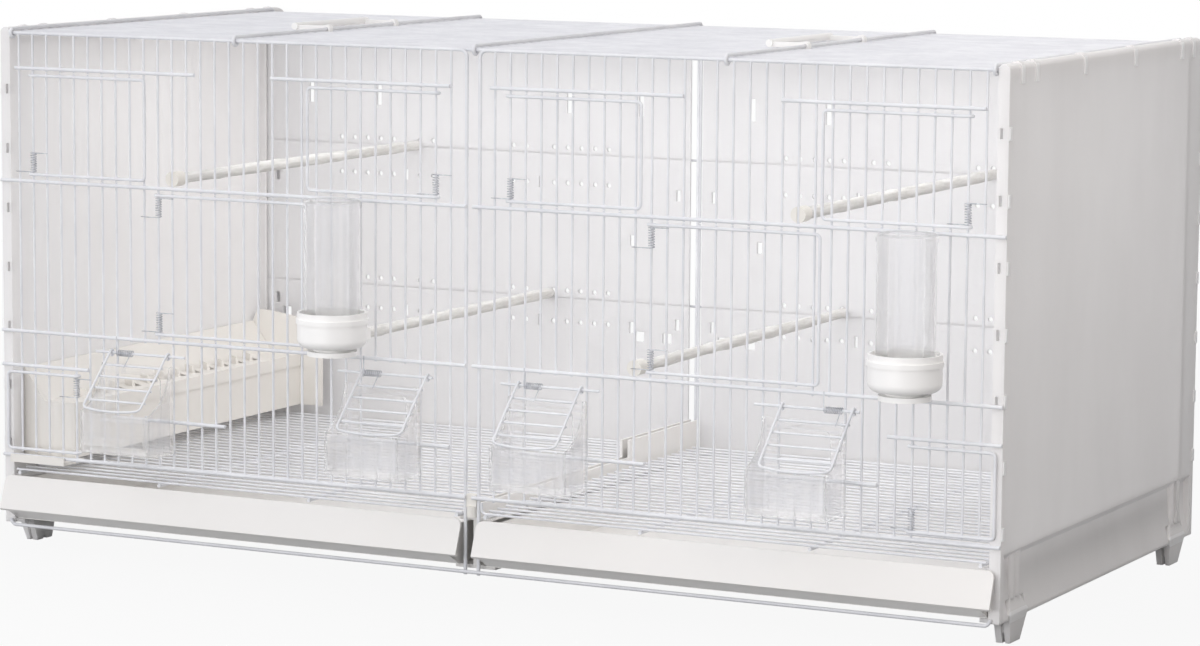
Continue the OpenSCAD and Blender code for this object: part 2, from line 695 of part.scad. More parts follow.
// Landing flap: drawn hanging straight down from the rod, then leaned out
module flap(f) {
    x0 = wire_x(f[0], f[1]) + f[3];
    x1 = wire_x(f[0], f[2]) + f[4];
    half = (x1 - x0) / 2;
    bend = 5;
    bow_r = (half * half + flap_bow * flap_bow) / (2 * flap_bow);
    bend_z = -flap_len + bend;
    bow_rise = sqrt(pow(bow_r - bend, 2) - pow(half - bend, 2));
    bow_a = asin((half - bend) / (bow_r - bend));
    gap_a = weld * 60 / bend;
    cross_y = -flap_eye_r + flap_r + cross_r + weld;
    translate([(x0 + x1) / 2, rod_y, rod_z]) rotate([-flap_lean, 0, 0]) {
        for (side = [-1, 1]) {
            translate([side * half, 0, 0]) rotate([90, 0, 90])
                wire_bend(flap_eye_r, flap_r, 180 - eye_wrap, 180);
            wire_along_z(side * half, -flap_eye_r, bend_z + weld, -weld, flap_r);
        }
        translate([0, -flap_eye_r, 0]) rotate([90, 0, 0]) {
            for (side = [0, 1]) mirror([side, 0, 0])
                translate([half - bend, bend_z, 0]) wire_bend(bend, flap_r, -90 + bow_a + gap_a, 0);
            translate([0, bend_z + bow_rise, 0])
                wire_bend(bow_r, flap_r, -90 - bow_a + weld, -90 + bow_a - weld);
        }
        for (share = [0.22, 0.42, 0.62, 0.83])
            wire_along_x(-half - flap_r, half + flap_r, cross_y, -share * flap_len, cross_r);
    }
}

// Outline of a cup seen from its side, y as depth towards the front, t = wall to leave
module cup_side(t) {
    front = cup_depth - t;
    floor_z = cup_floor_z + t;
    top = t > 0 ? 20 : 0;
    back_top = [4, cup_back_z];
    rim_top = [cup_depth, cup_rim_z];
    chord = rim_top - back_top;
    mid = (rim_top + back_top) / 2;
    arc_r = 42;
    rise = sqrt(arc_r * arc_r - norm(chord) * norm(chord) / 4);
    arc = mid + rise * [-chord[1], chord[0]] / norm(chord);
    difference() {
        translate([t, floor_z]) square([front - t, cup_back_z - floor_z + top]);
        translate([front, floor_z]) mirror([1, 0]) corner_cut(9 - t);
        if (t == 0) {
            translate(arc) circle(arc_r, $fn = 96);
            translate([rim_top[0] - 3, rim_top[1]]) square([9, 60]);
            translate([back_top[0] + 2, back_top[1] - 3]) square([60, 60]);
        }
    }
}

module cup_block(t) {
    half = cup_w / 2 - t;
    intersection() {
        translate([-half, cup_back_y, 0]) rotate([90, 0, 90]) mirror([1, 0, 0])
            linear_extrude(2 * half) cup_side(t);
        translate([0, cup_back_y, cup_floor_z - 1]) linear_extrude(cup_back_z) difference() {
            translate([-half, -cup_depth + t]) square([2 * half, cup_depth]);
            for (side = [0, 1]) mirror([side, 0]) translate([-half, -cup_depth + t]) corner_cut(5 - t);
        }
    }
}

// Clear seed cup with a feeding window in its back wall, hung a little left of its opening
module cup(f) translate([(wire_x(f[0], f[1]) + wire_x(f[0], f[2])) / 2 - 4, 0, 0]) difference() {
    window_h = cup_back_z - 8 - window_z;
    cup_block(0);
    cup_block(cup_wall);
    translate([-window_w / 2, cup_back_y + 1, window_z]) rotate([90, 0, 0])
        linear_extrude(cup_wall + 2) difference() {
            square([window_w, window_h]);
            translate([0, window_h]) mirror([0, 1]) corner_cut(5);
            translate([window_w, window_h]) rotate(180) corner_cut(5);
        }
}

module flap_piece(k) color("lightsteelblue") at_front() flap(feeders[k]);
module cup_piece(k) color("aliceblue") at_front() cup(feeders[k]);

// ---- Drinkers ----

base_floor_z = base_z + base_h - 11;

module cylinder_from(z, r, h) translate([0, 0, z]) cylinder(h = h, r = r);
module at_drinker(k) translate([wire_x(drinkers[k][0], drinkers[k][1]), drinker_y, 0]) children();

// Clear tube, closed at the top, its open foot standing in the base
module drinker_tube(k) color("aliceblue") at_front() at_drinker(k) rotate_extrude() {
    foot_z = base_floor_z + run;
    r = tube_d / 2;
    difference() {
        translate([0, foot_z]) square([r, tube_top_z - foot_z]);
        translate([-1, foot_z - 1]) square([r - tube_wall + 1, tube_top_z - foot_z + 1 - 2]);
        translate([r, tube_top_z]) rotate(180) corner_cut(2);
    }
    translate([r - 0.1, tube_top_z - 6]) square([1, 2.5]);
}

// White base: a foot ring, a round body with an open bowl that the tube stands in, a well
// below the tube, and a spout from the well to the inside of the cage
module drinker_base(k) color("white") at_front() at_drinker(k) {
    r = base_d / 2;
    body_z = base_z + 6.5;
    bowl_r = r - 3;
    well_r = 14;
    well_z = base_z + 9;
    spout_w = pitch - wire_d - 2 * run;
    spout_z = base_z + 8;
    spout_reach = r + 22;
    difference() {
        union() {
            cylinder_from(base_z, r - 9, 4);
            cylinder_from(base_z + 3, r - 14, 4);
            translate([0, 0, body_z]) rotate_extrude() difference() {
                square([r - 1, base_h - 6.5]);
                translate([r - 1, 0]) mirror([1, 0]) corner_cut(7);
            }
            cylinder_from(base_z + base_h - 9, r, 4);
            translate([-spout_w / 2, 0, spout_z]) cube([spout_w, spout_reach, 9]);
        }
        cylinder_from(base_floor_z, bowl_r, base_h);
        cylinder_from(well_z, well_r, base_h);
        translate([1.5 - spout_w / 2, 0, spout_z + 1.5]) cube([spout_w - 3, r - 1.5, 5.5]);
        translate([1.5 - spout_w / 2, r, spout_z + 1.5]) cube([spout_w - 3, spout_reach - r - 1.5, 9]);
        translate([1.5 - spout_w / 2, r - 2, spout_z + 1.5]) cube([spout_w - 3, 3, 5.5]);
    }
}

// ---- Perches ----

perch_r = perch_d / 2;
clip_r = perch_r + 1.2;
clip_len = 12;
function perch_z(p) = p[2] + bar_r + clip_r + run;

module perch(k) color("tan") at_front()
    wire_along_y(wire_x(perches[k][0], perches[k][1]), wire_r + 2, back_y - run,
                 perch_z(perches[k]), perch_r);

// End caps of the perches, each slotted to snap onto its upright wire
module perch_clips() color("beige") at_front() for (p = perches)
    translate([wire_x(p[0], p[1]), 0, perch_z(p)]) difference() {
        rotate([90, 0, 0]) translate([0, 0, -clip_len]) cylinder(h = clip_len + wire_r - 0.2, r = clip_r);
        rotate([90, 0, 0]) translate([0, 0, -clip_len - 1])
            cylinder(h = clip_len + 1 - wire_r - 2 + weld, r = perch_r + weld);
        translate([-wire_r - 0.1, -wire_r - 1, -clip_r - 1])
            cube([wire_d + 0.2, 2 * wire_r + 1.5, 2 * clip_r + 2]);
    }

// ---- Floor grids and trays ----

grid_cross_r = bar_r;
grid_cross_z = floor_z - wire_r - grid_cross_r - weld;
grid_outer_x = deck_x - 1.5;
grid_inner_x = centre_gap / 2 + bar_r + 1;
grid_count = floor((deck_back_y - 2) / deck_pitch);

// Floor grid of the right bay; the left one is its mirror
module floor_grid(front_x) {
    for (k = [0:grid_count])
        wire_along_x(k == 0 ? front_x : grid_inner_x, grid_outer_x, k * deck_pitch, floor_z, wire_r);
    for (x = [grid_inner_x + 4.5, 151, 296, grid_outer_x - 4])
        wire_along_y(x, -wire_r - tip, grid_count * deck_pitch + wire_r + tip, grid_cross_z, grid_cross_r);
}

module floor_left() color("lightsteelblue") at_front() mirror([1, 0, 0]) floor_grid(grid_inner_x);

// The right grid's front wire also turns up at its inner end
module floor_right() color("lightsteelblue") at_front() {
    turn = 4;
    end_x = grid_inner_x + wire_r - 0.5;
    floor_grid(end_x + turn + weld);
    translate([end_x + turn, 0, floor_z + turn]) rotate([90, 0, 0]) wire_bend(turn, wire_r, 180, 270);
    wire_along_z(end_x, 0, floor_z + turn + weld, bottom_bar_z - bar_r - tip - 1, wire_r);
}

// Slide-out tray of the right bay: a shallow pan behind a sloping lip
module tray() {
    x0 = centre_gap / 2 + 7;
    x1 = deck_x - 0.5;
    z0 = panel_foot_z + ledge_t + run;
    y1 = deck_back_y;
    lip_x0 = centre_gap / 2 + 1;
    lip_x1 = half_w - 4;
    lip_y = bar_front_y - 0.6;
    foot_y = lip_y - lip_lean;
    toe = foot_y + 2.4;
    sheet = [[3, z0], [toe, lip_foot_z - 2], [foot_y, lip_foot_z], [lip_y, lip_top_z],
             [lip_y + 2.2, lip_top_z], [toe + 0.4, lip_foot_z + 1.5], [3, z0 + tray_wall + 1]];
    cheek = [[3, z0], [toe, lip_foot_z], [lip_y + 1, tray_top_z], [y1, tray_top_z], [y1, z0]];
    // Lip with rounded corners, and the slope that joins it to the floor
    intersection() {
        translate([lip_x0, 0, 0]) rotate([90, 0, 90]) linear_extrude(lip_x1 - lip_x0) polygon(sheet);
        translate([0, 20, 0]) rotate([90, 0, 0]) linear_extrude(60) difference() {
            translate([lip_x0, z0 - 1]) square([lip_x1 - lip_x0, lip_top_z - z0 + 1]);
            translate([lip_x0, lip_top_z]) mirror([0, 1]) corner_cut(6);
            translate([lip_x1, lip_top_z]) rotate(180) corner_cut(6);
            translate([lip_x0 - 1, z0 - 2]) square([x0 - lip_x0 + 1, lip_foot_z - z0 + 0.3]);
            translate([x1, z0 - 2]) square([lip_x1 - x1 + 1, lip_foot_z - z0 + 0.3]);
        }
    }
    translate([x0, 2, z0]) cube([x1 - x0, y1 - 2, tray_wall]);
    translate([x0, y1 - tray_wall, z0]) cube([x1 - x0, tray_wall, tray_top_z - z0]);
    for (x = [x0, x1 - tray_wall])
        translate([x, 0, 0]) rotate([90, 0, 90]) linear_extrude(tray_wall) polygon(cheek);
}

module tray_left() color("whitesmoke") at_front() mirror([1, 0, 0]) tray();
module tray_right() color("whitesmoke") at_front() tray();

// Rail between the two bays: ledges for both trays and grids, and the partition's channel
module rail_length(a, b, top) along_y(a, b) for (side = [0, 1]) mirror([side, 0]) {
    web = 4;
    translate([0, panel_foot_z]) square([18, ledge_t]);
    translate([0, panel_foot_z]) square([web / 2, grid_ledge_z - panel_foot_z + 1]);
    translate([0, grid_ledge_z]) square([14, grid_ledge_t]);
    translate([2.5, grid_ledge_z + 1]) square([2, top - grid_ledge_z - 1]);
}

module centre_rail() color("ivory") at_front() {
    y0 = frame_y + centre_gap / 2;
    low_y = y0 + 265;
    rail_length(y0, low_y, 67);
    rail_length(low_y - 1, back_y - run, 82);
}

// Plastic clip between the two frame posts behind the bottom bars, and the sleeve below it
module centre_clip() color("wheat") at_front() {
    half = centre_gap / 2 - bar_r - weld;
    clip_z = bottom_bar_z - 8;
    clip_h = 10.5;
    clip_y = flange_y + weld;
    translate([-half, clip_y, clip_z]) cube([2 * half, 5.5, clip_h]);
    wire_along_z(0, frame_y, clip_z - 8, clip_z + 1, half - 0.4);
}

// Round rail along the foot of the front, its ends turned up in front of the panels
module bottom_rail() color("lightsteelblue") at_front() {
    turn = 5;
    end_x = rim_x - 3;
    wire_along_x(-end_x, end_x, bar_y, rail_z, bar_r);
    for (side = [0, 1]) mirror([side, 0, 0]) translate([end_x + weld, bar_y, rail_z + turn])
        rotate([90, 0, 0]) wire_bend(turn, bar_r, -90, 0);
}

// ---- Seed box along the left wall ----

box_z = hollow_top_z + panel_wall + run;
box_y0 = 22;
box_y1 = deck_back_y - 16;
box_wall_x = run - inner_x;
box_plate_x = box_wall_x + 2.5;
box_x0 = box_wall_x + box_w;
box_front_t = 2;
box_lid_z = box_z + box_h + run;
box_flat_z = box_lid_z + 11;
box_slope_x = box_plate_x + 20;

// Open trough behind the fluted front
module box_trough() color("linen") at_front() {
    wall = 2;
    y0 = box_y0 + box_front_t + weld;
    difference() {
        translate([box_wall_x, y0, box_z]) cube([box_w, box_y1 - y0, box_h]);
        translate([box_wall_x + wall, y0 + wall, box_z + wall])
            cube([box_w - 2 * wall, box_y1 - y0 - 2 * wall, box_h]);
    }
}

// Fluted front as tall as the trough and its lid, with a lip under and before the bottom bar
module box_front() color("linen") at_front() {
    flutes = 4;
    flute_w = box_w / flutes;
    proud = 2.2;
    flute_r = (flute_w * flute_w / 4 + proud * proud) / (2 * proud);
    lip_x = run - rim_x;
    lip_w = 54;
    lip_t = 1.85;
    lip_y = bar_front_y - 0.6;
    lip_z = box_z - 2.3;
    outline = [[box_wall_x, box_z], [box_wall_x, box_back_z], [box_plate_x, box_back_z],
               [box_slope_x, box_flat_z], [box_x0, box_flat_z], [box_x0, box_z]];
    intersection() {
        along_y(box_y0 - proud - 1, box_y0 + box_front_t) polygon(outline);
        translate([0, 0, box_z - 1]) linear_extrude(box_back_z) {
            translate([box_wall_x, box_y0]) square([box_w, box_front_t]);
            for (k = [0:flutes - 1]) intersection() {
                translate([box_wall_x + (k + 0.5) * flute_w, box_y0 - proud + flute_r])
                    circle(flute_r, $fn = 96);
                translate([box_wall_x + k * flute_w, box_y0 - proud - 1])
                    square([flute_w, proud + 1 + box_front_t / 2]);
            }
        }
    }
    translate([lip_x, lip_y - lip_t, lip_z]) cube([lip_w, box_y0 + 2 - lip_y + lip_t, 2.5]);
    translate([lip_x, lip_y - lip_t, lip_z]) cube([lip_w, lip_t, 6.5]);
}

// Slatted lid that lifts off: a rim over the trough, a sloping back, slanted slots between slats
module box_lid() color("linen") at_front() {
    y0 = box_y0 + box_front_t + run;
    y1 = box_y1 - run;
    over = 1.5;
    wall = 2;
    slats = floor((box_y1 - box_y0 - 60) / slat_pitch);
    outer = [[box_wall_x, box_lid_z], [box_wall_x, box_back_z], [box_plate_x, box_back_z],
             [box_slope_x, box_flat_z], [box_x0 + over, box_flat_z], [box_x0 + over, box_lid_z]];
    inner = [[box_plate_x, box_lid_z - 1], [box_plate_x, box_back_z - 6],
             [box_slope_x - 1.5, box_flat_z - wall], [box_x0 + over - wall, box_flat_z - wall],
             [box_x0 + over - wall, box_lid_z - 1]];
    difference() {
        along_y(y0, y1) polygon(outer);
        along_y(y0 + wall, y1 - wall) polygon(inner);
        for (k = [1:slats])
            translate([box_slope_x + 2, box_y0 + 24 + k * slat_pitch, box_flat_z - wall - 1])
                rotate([0, 0, -35]) cube([18, 7, wall + 2]);
    }
    // Slats standing beside the slots
    for (k = [1:slats])
        translate([box_slope_x + 2, box_y0 + 20.6 + k * slat_pitch, box_flat_z - 1]) rotate([0, 0, -35])
            rotate([90, 0, 90]) linear_extrude(18) polygon([[0, 0], [3, 0], [3, 1], [1.4, 7.5], [0, 7.5]]);
}

// Raised end plate at the back, wider than the trough, with a diagonal crease
module box_end() color("linen") at_front() {
    y0 = box_y1 + weld;
    far_x = box_x0 + 24;
    outline = [[box_wall_x, box_z], [box_wall_x, box_back_z - 3], [box_plate_x + 4, box_back_z + 11],
               [box_plate_x + 16, box_back_z + 11], [far_x, box_back_z + 3], [far_x, box_z]];
    along_y(y0, y0 + 2.5) polygon(outline);
    along_y(y0 + 2, y0 + 4)
        polygon([[box_plate_x + 2, box_back_z - 2], [box_plate_x + 5, box_back_z - 2],
                 [box_plate_x + 24, box_back_z - 22], [box_plate_x + 21, box_back_z - 22]]);
}

side_left();
side_right();
feet();
back_left();
back_right();
back_post();
roof_wires();
roof_cross();
roof_hooks();
handle_left();
handle_right();
front_left_wires();
front_left_bars();
front_right_wires();
front_right_bars();
top_door(0);  // door_top_1
top_door(1);  // door_top_2
top_door(2);  // door_top_3
top_door(3);  // door_top_4
mid_door(0);  // door_mid_1
mid_door(1);  // door_mid_2
low_door(0);  // door_low_1
low_door(1);  // door_low_2
flap_piece(0);  // flap_1
flap_piece(1);  // flap_2
flap_piece(2);  // flap_3
flap_piece(3);  // flap_4
cup_piece(0);  // cup_1
cup_piece(1);  // cup_2
cup_piece(2);  // cup_3
cup_piece(3);  // cup_4
drinker_tube(0);  // drinker_tube_1
drinker_base(0);  // drinker_base_1
drinker_tube(1);  // drinker_tube_2
drinker_base(1);  // drinker_base_2
door_springs();
flap_springs();
perch(0);  // perch_1
perch(1);  // perch_2
perch(2);  // perch_3
perch(3);  // perch_4
perch_clips();
floor_left();
floor_right();
tray_left();
tray_right();
centre_rail();
centre_clip();
bottom_rail();
box_trough();
box_front();
box_lid();
box_end();
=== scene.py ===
import json
import math
import random

import bpy
from mathutils import Matrix, Vector


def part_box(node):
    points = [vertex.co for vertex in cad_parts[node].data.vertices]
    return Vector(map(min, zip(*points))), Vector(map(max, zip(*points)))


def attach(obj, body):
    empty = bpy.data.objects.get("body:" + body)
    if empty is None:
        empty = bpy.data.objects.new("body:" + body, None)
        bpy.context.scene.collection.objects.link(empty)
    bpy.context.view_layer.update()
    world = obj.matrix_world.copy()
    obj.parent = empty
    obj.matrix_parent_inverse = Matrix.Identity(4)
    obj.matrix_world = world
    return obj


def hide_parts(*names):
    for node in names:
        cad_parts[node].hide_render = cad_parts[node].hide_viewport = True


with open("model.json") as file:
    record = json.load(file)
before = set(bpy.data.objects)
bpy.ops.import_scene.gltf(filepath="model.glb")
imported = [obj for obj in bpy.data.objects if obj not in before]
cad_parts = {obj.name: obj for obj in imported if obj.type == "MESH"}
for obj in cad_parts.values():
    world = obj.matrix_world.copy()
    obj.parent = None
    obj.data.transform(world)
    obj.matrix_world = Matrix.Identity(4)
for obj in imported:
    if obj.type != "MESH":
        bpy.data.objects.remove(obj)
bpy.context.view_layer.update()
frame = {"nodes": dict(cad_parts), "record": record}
nodes = frame["nodes"]
mm = 0.001

# The cage's own measures in millimetres, as the frame has them. Depths count from the upright wires,
# heights from a plane legDrop above the ground.
cage = {
    "originY": -188.325,
    "legDrop": 5.5,
    "wires": 32,
    "pitch": 13.8,
    "postX": 6,
    "panelFaceX": 451.7,  # grained outer face of the side panels
    "wireR": 1,
    "barR": 1.5,
    "doorR": 1.25,
    "rodR": 1.1,
    "flapR": 1,
    "weldGap": 0.05,  # between wires that the real cage has welded
    "eyeGap": 0.3,  # between an eye and the wire it turns on
    "bottomZ": 72.5,
    "sillZ": 112,
    "lowLintelZ": 149.5,
    "rodZ": 166.3,
    "lowerZ": 178.5,
    "upperZ": 305.5,
    "lintelZ": 400,
    "topZ": 429,
    "topWeldY": 0.2,
    "topWeldDrop": 1.45,
    "doorDrop": 6,
    "doorLift": 5.8,
    "flapLength": 60,
    "flapLean": 45,
}
left, right = -1, 1

# Bay, hinge wire, wire behind the free side, and the bars below and above
doors = {
    "door_top_1": (left, 1, 9, "upperZ", "lintelZ"),
    "door_top_2": (left, 29, 21, "upperZ", "lintelZ"),
    "door_top_3": (right, 2, 10, "upperZ", "lintelZ"),
    "door_top_4": (right, 30, 22, "upperZ", "lintelZ"),
    "door_mid_1": (left, 10, 20, "lowerZ", "upperZ"),
    "door_mid_2": (right, 11, 21, "lowerZ", "upperZ"),
    "door_low_1": (left, 4, -1, "bottomZ", "lowLintelZ"),
    "door_low_2": (right, 27, 32, "bottomZ", "lowLintelZ"),
}
# Bay, first and last wire of the opening, both flap arms' offsets from them
flaps = {
    "flap_1": (left, 7, 11, -4.3, -4),
    "flap_2": (left, 24, 28, 3.6, 7.8),
    "flap_3": (right, 3, 7, -4.3, -4),
    "flap_4": (right, 19, 23, 3.6, 7.8),
}


def wireX(bay, i):
    if bay == left:
        return -cage["postX"] - (cage["wires"] - 1 - i) * cage["pitch"]
    return cage["postX"] + i * cage["pitch"]


def place(x, y, z):
    return Vector((x * mm, (y + cage["originY"]) * mm, (z + cage["legDrop"]) * mm))


rodY = -(cage["wireR"] + cage["rodR"] + cage["weldGap"])
doorY = -(cage["wireR"] + cage["eyeGap"] + cage["doorR"])


def toLinear(hexText):
    parts = [int(hexText[i:i + 2], 16) / 255 for i in (1, 3, 5)]
    return [c / 12.92 if c <= 0.04045 else ((c + 0.055) / 1.055) ** 2.4 for c in parts] + [1]


def addNode(tree, kind, settings=None, links=None):
    node = tree.nodes.new(kind)
    for name, value in (settings or {}).items():
        if isinstance(name, int) or name in node.inputs:
            node.inputs[name].default_value = value
        else:
            setattr(node, name, value)
    for name, source in (links or {}).items():
        tree.links.new(source, node.inputs[name])
    return node


def startMaterial(name, settings):
    material = bpy.data.materials.new(name)
    material.use_nodes = True
    tree = material.node_tree
    shader = tree.nodes["Principled BSDF"]
    for socket, value in settings.items():
        shader.inputs[socket].default_value = value
    return material, tree, shader


# How cloudy a mottle is: below darkTo it is all dark, above lightFrom all light
cloud = {"detail": 4, "roughness": 0.6, "darkTo": 0.35, "lightFrom": 0.65}


def mottle(tree, shader, coords, light, dark, patch):
    noise = addNode(tree, "ShaderNodeTexNoise", {
        "Scale": 1 / patch, "Detail": cloud["detail"], "Roughness": cloud["roughness"]}, {"Vector": coords})
    ramp = addNode(tree, "ShaderNodeValToRGB", None, {"Fac": noise.outputs["Fac"]})
    ramp.color_ramp.elements[0].position = cloud["darkTo"]
    ramp.color_ramp.elements[0].color = toLinear(dark)
    ramp.color_ramp.elements[1].position = cloud["lightFrom"]
    ramp.color_ramp.elements[1].color = toLinear(light)
    tree.links.new(ramp.outputs["Color"], shader.inputs["Base Color"])


def grain(tree, shader, coords, size, depth, detail=2):
    noise = addNode(tree, "ShaderNodeTexNoise", {"Scale": 1 / size, "Detail": detail}, {"Vector": coords})
    bump = addNode(tree, "ShaderNodeBump", {"Strength": 1, "Distance": depth},
                   {"Height": noise.outputs["Fac"]})
    tree.links.new(bump.outputs["Normal"], shader.inputs["Normal"])


def varyRoughness(tree, shader, coords, size, low, high):
    noise = addNode(tree, "ShaderNodeTexNoise", {"Scale": 1 / size, "Detail": 3}, {"Vector": coords})
    spread = addNode(tree, "ShaderNodeMapRange", {"To Min": low, "To Max": high},
                     {"Value": noise.outputs["Fac"]})
    tree.links.new(spread.outputs["Result"], shader.inputs["Roughness"])


# Sizes in the finishes are metres, and depth is that of the bump
def powderCoatedSteel():
    # White epoxy powder on steel wire: satin, a touch blue, with the soft ripple of melted powder
    finish = {"light": "#E8E9EC", "dark": "#DDDEE2", "patch": 0.03, "ripple": 0.0022, "depth": 0.00012,
              "shine": 0.012, "smoothest": 0.28, "roughest": 0.42}
    material, tree, shader = startMaterial("powderCoatedSteel", {"IOR": 1.52, "Roughness": 0.34})
    coords = addNode(tree, "ShaderNodeTexCoord").outputs["Object"]
    mottle(tree, shader, coords, finish["light"], finish["dark"], finish["patch"])
    grain(tree, shader, coords, finish["ripple"], finish["depth"])
    varyRoughness(tree, shader, coords, finish["shine"], finish["smoothest"], finish["roughest"])
    return material


def mouldedPolypropylene(name, light, dark, roughness, glow=0):
    # Injection-moulded white polypropylene: matt, faint cloudy flow marks drawn out along the height,
    # spark-eroded grain, and some daylight soaking through thin walls. The real grain is about 0.3 mm
    # and is drawn at 1.6 mm so that it shows.
    finish = {"patch": 0.11, "drawnOut": 0.35, "grain": 0.0016, "depth": 0.00011, "soak": 0.012,
              "shine": 0.05, "smoother": 0.06, "rougher": 0.08}
    material, tree, shader = startMaterial(name, {
        "IOR": 1.49, "Roughness": roughness, "Subsurface Weight": glow,
        "Subsurface Radius": (1, 1, 1), "Subsurface Scale": finish["soak"]})
    coords = addNode(tree, "ShaderNodeTexCoord").outputs["Object"]
    stretch = addNode(tree, "ShaderNodeMapping", {"Scale": (1, 1, finish["drawnOut"])}, {"Vector": coords})
    mottle(tree, shader, stretch.outputs["Vector"], light, dark, finish["patch"])
    grain(tree, shader, coords, finish["grain"], finish["depth"])
    varyRoughness(tree, shader, coords, finish["shine"],
                  roughness - finish["smoother"], roughness + finish["rougher"])
    return material


def paintHighlightOnProudParts(material, faceX, light):
    # The straps and lugs stand proud of the grained face; there the colour is plain white, a painted
    # highlight for their bright edges that catch the light
    tree = material.node_tree
    shader = tree.nodes["Principled BSDF"]
    grained = shader.inputs["Base Color"].links[0].from_socket
    coords = addNode(tree, "ShaderNodeTexCoord").outputs["Object"]
    x = addNode(tree, "ShaderNodeSeparateXYZ", None, {"Vector": coords}).outputs["X"]
    out = addNode(tree, "ShaderNodeMath", {"operation": "ABSOLUTE"}, {0: x})
    proud = addNode(tree, "ShaderNodeMath", {"operation": "GREATER_THAN", 1: faceX},
                    {0: out.outputs["Value"]})
    mixed = addNode(tree, "ShaderNodeMix", {"data_type": "RGBA"}, {"Factor": proud.outputs["Value"]})
    colours = [socket for socket in mixed.inputs if socket.type == "RGBA"]
    tree.links.new(grained, colours[0])
    colours[1].default_value = toLinear(light)
    mixedColour = next(socket for socket in mixed.outputs if socket.type == "RGBA")
    tree.links.new(mixedColour, shader.inputs["Base Color"])
    return material


def glossyPolystyrene(name, light, dark):
    # High-impact polystyrene, glossy from a polished mould, with slight sink waves
    finish = {"patch": 0.09, "waves": 0.012, "depth": 0.00005, "shine": 0.03,
              "smoothest": 0.27, "roughest": 0.32}
    material, tree, shader = startMaterial(name, {"IOR": 1.59, "Roughness": 0.28})
    coords = addNode(tree, "ShaderNodeTexCoord").outputs["Object"]
    mottle(tree, shader, coords, light, dark, finish["patch"])
    grain(tree, shader, coords, finish["waves"], finish["depth"], 1)
    varyRoughness(tree, shader, coords, finish["shine"], finish["smoothest"], finish["roughest"])
    return material


def clearPolystyrene():
    # Crystal polystyrene: water clear, sharp glints, a slight waviness from the mould. Alpha lets half of
    # the light straight through, because edges and the tubes' insides rendered black without it.
    finish = {"tint": "#FDFDFE", "straightThrough": 0.5, "waves": 0.014, "depth": 0.0001}
    material, tree, shader = startMaterial("clearPolystyrene", {
        "Base Color": toLinear(finish["tint"]), "IOR": 1.57, "Roughness": 0.02, "Transmission Weight": 1,
        "Alpha": 1 - finish["straightThrough"]})
    coords = addNode(tree, "ShaderNodeTexCoord").outputs["Object"]
    grain(tree, shader, coords, finish["waves"], finish["depth"], 1)
    return material


def springSteel():
    # Zinc-plated spring wire: bright grey metal, duller and darker in small patches
    finish = {"light": "#D6D7DB", "dark": "#A8ABB2", "patch": 0.006, "grain": 0.0006, "depth": 0.00004,
              "shine": 0.004, "smoothest": 0.26, "roughest": 0.46}
    material, tree, shader = startMaterial("springSteel", {"Metallic": 1, "Roughness": 0.34})
    coords = addNode(tree, "ShaderNodeTexCoord").outputs["Object"]
    mottle(tree, shader, coords, finish["light"], finish["dark"], finish["patch"])
    grain(tree, shader, coords, finish["grain"], finish["depth"])
    varyRoughness(tree, shader, coords, finish["shine"], finish["smoothest"], finish["roughest"])
    return material


def perchPlastic():
    # Moulded imitation branch: matt grey-beige plastic with bark lines that run along it
    bark = {"light": "#E3E2DF", "dark": "#CAC8C4", "patch": 0.004, "line": 0.0011, "depth": 0.0004,
            "drawnOut": 0.12}
    material, tree, shader = startMaterial("perchPlastic", {"IOR": 1.49, "Roughness": 0.66})
    coords = addNode(tree, "ShaderNodeTexCoord").outputs["Object"]
    along = addNode(tree, "ShaderNodeMapping", {"Scale": (1, bark["drawnOut"], 1)}, {"Vector": coords})
    mottle(tree, shader, along.outputs["Vector"], bark["light"], bark["dark"], bark["patch"])
    grain(tree, shader, along.outputs["Vector"], bark["line"], bark["depth"], 4)
    return material


panelPlastic = mouldedPolypropylene("panelPolypropylene", "#EFEDEC", "#E9E7E6", 0.5, 0.6)
materialsBySlot = {
    # The side panels' proud straps and lugs get a painted highlight in plain white
    "panel_plastic": paintHighlightOnProudParts(panelPlastic, cage["panelFaceX"] * mm, "#FFFFFF"),
    "back_plastic": mouldedPolypropylene("backPolypropylene", "#F4F2F2", "#EDEBEC", 0.46, 0.9),
    "white_wire": powderCoatedSteel(),
    "white_plastic": glossyPolystyrene("whitePolystyrene", "#FBFAF8", "#F7F6F4"),
    "clear_plastic": clearPolystyrene(),
    "spring_steel": springSteel(),
    "perch_stick": perchPlastic(),
    "clip_plastic": mouldedPolypropylene("clipPolypropylene", "#ECE9E3", "#E2DED6", 0.55),
    # The tray's colour is set darker than its white as painted shade, because the front lamp clipped its lips
    # to white
    "tray_plastic": glossyPolystyrene("trayPolystyrene", "#ECEAE7", "#EBE9E6"),
    "cream_plastic": mouldedPolypropylene("creamPolypropylene", "#EFECE7", "#E8E5DF", 0.48),
}
for part in frame["record"]["subparts"]:
    node = nodes[part["node"]]
    node.data.materials.clear()
    node.data.materials.append(materialsBySlot[part["material_slot"]])
print("materials")


def makePiece(name, points, faces, slotName, body):
    mesh = bpy.data.meshes.new(name)
    mesh.from_pydata(points, [], faces)
    mesh.validate()
    mesh.update()
    mesh.shade_smooth()
    piece = bpy.data.objects.new(name, mesh)
    bpy.context.scene.collection.objects.link(piece)
    mesh.materials.append(materialsBySlot[slotName])
    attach(piece, body)
    return piece


